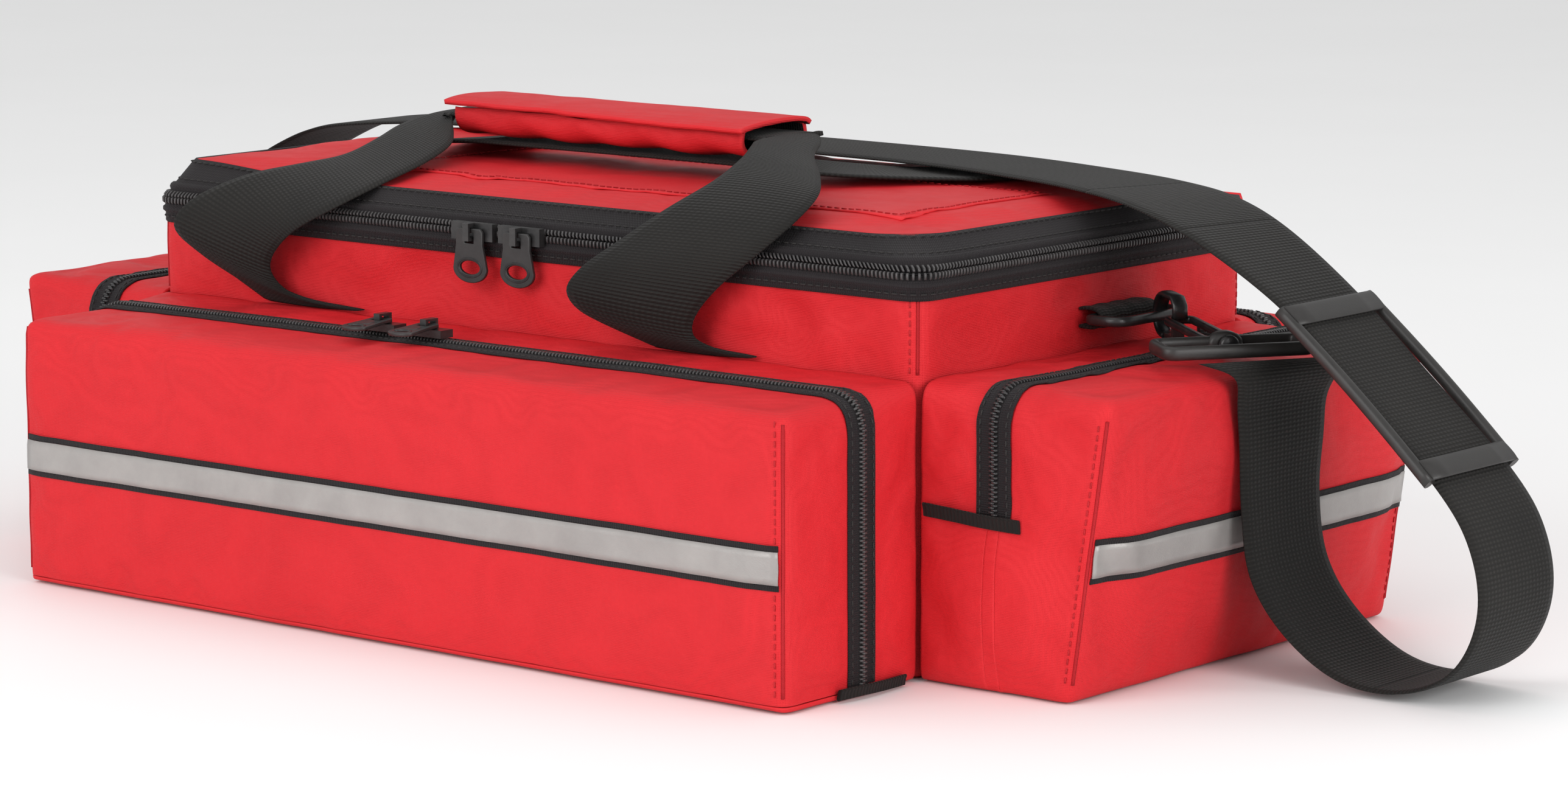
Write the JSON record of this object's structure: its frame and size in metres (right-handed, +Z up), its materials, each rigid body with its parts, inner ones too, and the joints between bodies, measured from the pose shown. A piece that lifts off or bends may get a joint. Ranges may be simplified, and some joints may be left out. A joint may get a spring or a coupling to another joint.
{
  "type": "trauma bag",
  "caption": "Soft box-shaped trauma bag with a zipped lid, zipped pockets on its sides, joined carry handles and a clip-on shoulder strap.",
  "frame": {"origin": "centre of the main compartment's base, on the surface the bag stands on", "axes": "+X along the bag, -Y towards its front pocket, +Z up"},
  "size_m": [0.9008, 0.4318, 0.247],
  "materials": {
    "red_fabric": "coated red pack cloth, satin",
    "zip_tape": "woven black zip tape with nylon teeth",
    "webbing": "ribbed black webbing, matt",
    "reflective_tape": "grey reflective tape between black edges",
    "board": "stiff black sheet",
    "foam": "grey foam under smooth lining",
    "slider_metal": "black enamel",
    "pull_rubber": "soft black moulding",
    "black_metal": "black, semi-gloss",
    "buckle_plastic": "black nylon moulding"
  },
  "bodies": {
    "bag": {"base_panel": "red_fabric", "base_board": "board", "front_wall": "red_fabric", "back_wall": "red_fabric", "end_walls": "red_fabric", "dividers": "foam", "body_zip": "zip_tape", "front_gusset": "red_fabric", "front_zip_fixed": "zip_tape", "back_gusset": "red_fabric", "back_zip_fixed": "zip_tape", "left_pocket": "red_fabric", "right_pocket": "red_fabric", "end_zips_fixed": "zip_tape", "zip_end_tabs": "webbing", "end_stripes": "reflective_tape", "d_ring_tabs": "webbing", "strap_end_loops": "buckle_plastic", "shoulder_strap": "webbing"},
    "lid": {"lid_panel": "red_fabric", "lid_foam": "foam", "lid_patch": "red_fabric", "lid_zip": "zip_tape"},
    "front_handle": {"front_handle": "webbing"},
    "back_handle": {"back_handle": "webbing", "grip_wrap": "red_fabric"},
    "grip_flap": {"grip_flap": "red_fabric"},
    "front_flap": {"front_panel": "red_fabric", "front_zip_flap": "zip_tape", "front_stripe": "reflective_tape"},
    "back_flap": {"back_panel": "red_fabric", "back_zip_flap": "zip_tape"},
    "left_flap": {"left_flap": "red_fabric", "left_flap_sides": "red_fabric", "left_zip_flap": "zip_tape"},
    "right_flap": {"right_flap": "red_fabric", "right_flap_sides": "red_fabric", "right_zip_flap": "zip_tape"},
    "strap_drop": {"strap_drop": "webbing"},
    "strap_adjuster": {"strap_adjuster": "buckle_plastic"},
    "main_left_slider": {"main_left_slider": "slider_metal"},
    "main_left_pull": {"main_left_pull": "pull_rubber"},
    "main_right_slider": {"main_right_slider": "slider_metal"},
    "main_right_pull": {"main_right_pull": "pull_rubber"},
    "front_left_slider": {"front_left_slider": "slider_metal"},
    "front_left_pull": {"front_left_pull": "pull_rubber"},
    "front_right_slider": {"front_right_slider": "slider_metal"},
    "front_right_pull": {"front_right_pull": "pull_rubber"},
    "back_slider": {"back_slider": "slider_metal"},
    "back_pull": {"back_pull": "pull_rubber"},
    "left_end_slider": {"left_end_slider": "slider_metal"},
    "left_end_pull": {"left_end_pull": "pull_rubber"},
    "right_end_slider": {"right_end_slider": "slider_metal"},
    "right_end_pull": {"right_end_pull": "pull_rubber"},
    "left_d_ring": {"left_d_ring": "black_metal"},
    "left_hook": {"left_hook": "black_metal"},
    "left_gate": {"left_gate": "black_metal"},
    "right_d_ring": {"right_d_ring": "black_metal"},
    "right_hook": {"right_hook": "black_metal"},
    "right_gate": {"right_gate": "black_metal"}
  },
  "joints": [
    {"name": "lid_hinge", "type": "hinge", "parent": "bag", "child": "lid", "pos_m": [0, 0.1375, 0.205], "axis": [-1, 0, 0], "range_deg": [0, 100], "deforming": ["shoulder_strap"]},
    {"name": "front_handle_swing", "type": "hinge", "parent": "bag", "child": "front_handle", "pos_m": [0, -0.15, 0.165], "axis": [1, 0, 0], "range_deg": [0, 150], "deforming": ["front_handle"]},
    {"name": "back_handle_swing", "type": "hinge", "parent": "bag", "child": "back_handle", "pos_m": [0, 0.15, 0.165], "axis": [-1, 0, 0], "range_deg": [0, 120], "deforming": ["back_handle"]},
    {"name": "grip_flap_hinge", "type": "hinge", "parent": "back_handle", "child": "grip_flap", "pos_m": [0, 0.025, 0.2437], "axis": [-1, 0, 0], "range_deg": [0, 150]},
    {"name": "front_flap_hinge", "type": "hinge", "parent": "bag", "child": "front_flap", "pos_m": [0, -0.238, 0.003], "axis": [1, 0, 0], "range_deg": [0, 90]},
    {"name": "back_flap_hinge", "type": "hinge", "parent": "bag", "child": "back_flap", "pos_m": [0, 0.193, 0.003], "axis": [-1, 0, 0], "range_deg": [0, 90]},
    {"name": "left_flap_hinge", "type": "hinge", "parent": "bag", "child": "left_flap", "pos_m": [-0.3589, 0, 0.0823], "axis": [0, -1, 0], "range_deg": [0, 80], "deforming": ["left_flap_sides", "left_zip_flap"]},
    {"name": "right_flap_hinge", "type": "hinge", "parent": "bag", "child": "right_flap", "pos_m": [0.3589, 0, 0.0823], "axis": [0, 1, 0], "range_deg": [0, 80], "deforming": ["right_flap_sides", "right_zip_flap"]},
    {"name": "strap_drop_slide", "type": "slide", "parent": "bag", "child": "strap_drop", "axis": [1, 0, 0], "range_m": [0, 0.085], "deforming": ["strap_drop"]},
    {"name": "strap_adjuster_slide", "type": "slide", "parent": "strap_drop", "child": "strap_adjuster", "axis": [0.7521, 0, -0.6591], "range_m": [-0.012, 0.012]},
    {"name": "main_left_slide", "type": "slide", "parent": "bag", "child": "main_left_slider", "axis": [-1, 0, 0], "range_m": [0, 0.2]},
    {"name": "main_left_pull_hinge", "type": "hinge", "parent": "main_left_slider", "child": "main_left_pull", "pos_m": [-0.023, -0.1454, 0.1963], "axis": [-1, 0, 0], "range_deg": [0, 110]},
    {"name": "main_right_slide", "type": "slide", "parent": "bag", "child": "main_right_slider", "axis": [1, 0, 0], "range_m": [0, 0.2]},
    {"name": "main_right_pull_hinge", "type": "hinge", "parent": "main_right_slider", "child": "main_right_pull", "pos_m": [0.009, -0.1454, 0.1963], "axis": [-1, 0, 0], "range_deg": [0, 110]},
    {"name": "front_left_slide", "type": "slide", "parent": "front_flap", "child": "front_left_slider", "axis": [-1, 0, 0], "range_m": [0, 0.19]},
    {"name": "front_left_pull_hinge", "type": "hinge", "parent": "front_left_slider", "child": "front_left_pull", "pos_m": [-0.05, -0.1797, 0.15192], "axis": [-1, 0, 0], "range_deg": [0, 110]},
    {"name": "front_right_slide", "type": "slide", "parent": "front_flap", "child": "front_right_slider", "axis": [1, 0, 0], "range_m": [0, 0.25]},
    {"name": "front_right_pull_hinge", "type": "hinge", "parent": "front_right_slider", "child": "front_right_pull", "pos_m": [-0.018, -0.1797, 0.15192], "axis": [-1, 0, 0], "range_deg": [0, 110]},
    {"name": "back_slide", "type": "slide", "parent": "back_flap", "child": "back_slider", "axis": [1, 0, 0], "range_m": [-0.2, 0.2]},
    {"name": "back_pull_hinge", "type": "hinge", "parent": "back_slider", "child": "back_pull", "pos_m": [0, 0.1637, 0.15199], "axis": [1, 0, 0], "range_deg": [0, 110]},
    {"name": "left_end_slide", "type": "slide", "parent": "bag", "child": "left_end_slider", "axis": [0, -1, 0], "range_m": [-0.01, 0.09]},
    {"name": "left_end_pull_hinge", "type": "hinge", "parent": "left_end_slider", "child": "left_end_pull", "pos_m": [-0.3007, -0.03, 0.1526], "axis": [0, 1, 0], "range_deg": [0, 110]},
    {"name": "right_end_slide", "type": "slide", "parent": "bag", "child": "right_end_slider", "axis": [0, 1, 0], "range_m": [0, 0.085]},
    {"name": "right_end_pull_hinge", "type": "hinge", "parent": "right_end_slider", "child": "right_end_pull", "pos_m": [0.3007, 0.037, 0.1526], "axis": [0, -1, 0], "range_deg": [0, 110]},
    {"name": "left_d_ring_hinge", "type": "hinge", "parent": "bag", "child": "left_d_ring", "pos_m": [-0.2662, 0.015, 0.1615], "axis": [0, -1, 0], "range_deg": [-3, 3]},
    {"name": "right_d_ring_hinge", "type": "hinge", "parent": "bag", "child": "right_d_ring", "pos_m": [0.2662, 0.015, 0.1615], "axis": [0, 1, 0], "range_deg": [-3, 3]},
    {"name": "right_hook_swivel", "type": "hinge", "parent": "bag", "child": "right_hook", "pos_m": [0.2855, 0.027, 0.1615], "axis": [0.8279, -0.5584, -0.0523], "range_deg": [-15, 15]},
    {"name": "left_hook_swivel", "type": "hinge", "parent": "bag", "child": "left_hook", "pos_m": [-0.2855, 0.027, 0.1615], "axis": [-0.9259, 0.3741, -0.0523], "range_deg": [-15, 15]},
    {"name": "right_gate_hinge", "type": "hinge", "parent": "right_hook", "child": "right_gate", "pos_m": [0.29664, 0.01948, 0.15048], "axis": [0.5592, 0.829, 0], "range_deg": [0, 18], "stiffness_Nm_per_rad": 0.05, "springref_deg": -5.73},
    {"name": "left_gate_hinge", "type": "hinge", "parent": "left_hook", "child": "left_gate", "pos_m": [-0.29796, 0.03203, 0.15048], "axis": [-0.3746, -0.9272, 0], "range_deg": [0, 18], "stiffness_Nm_per_rad": 0.05, "springref_deg": -5.73}
  ],
  "couplings": [
    {"joint": "front_handle_swing", "follows": "lid_hinge", "ratio": 1.5},
    {"joint": "back_handle_swing", "follows": "lid_hinge", "ratio": 1.2},
    {"joint": "grip_flap_hinge", "follows": "lid_hinge", "ratio": 1.5},
    {"joint": "strap_drop_slide", "follows": "right_flap_hinge", "m_per_rad": 0.06}
  ]
}
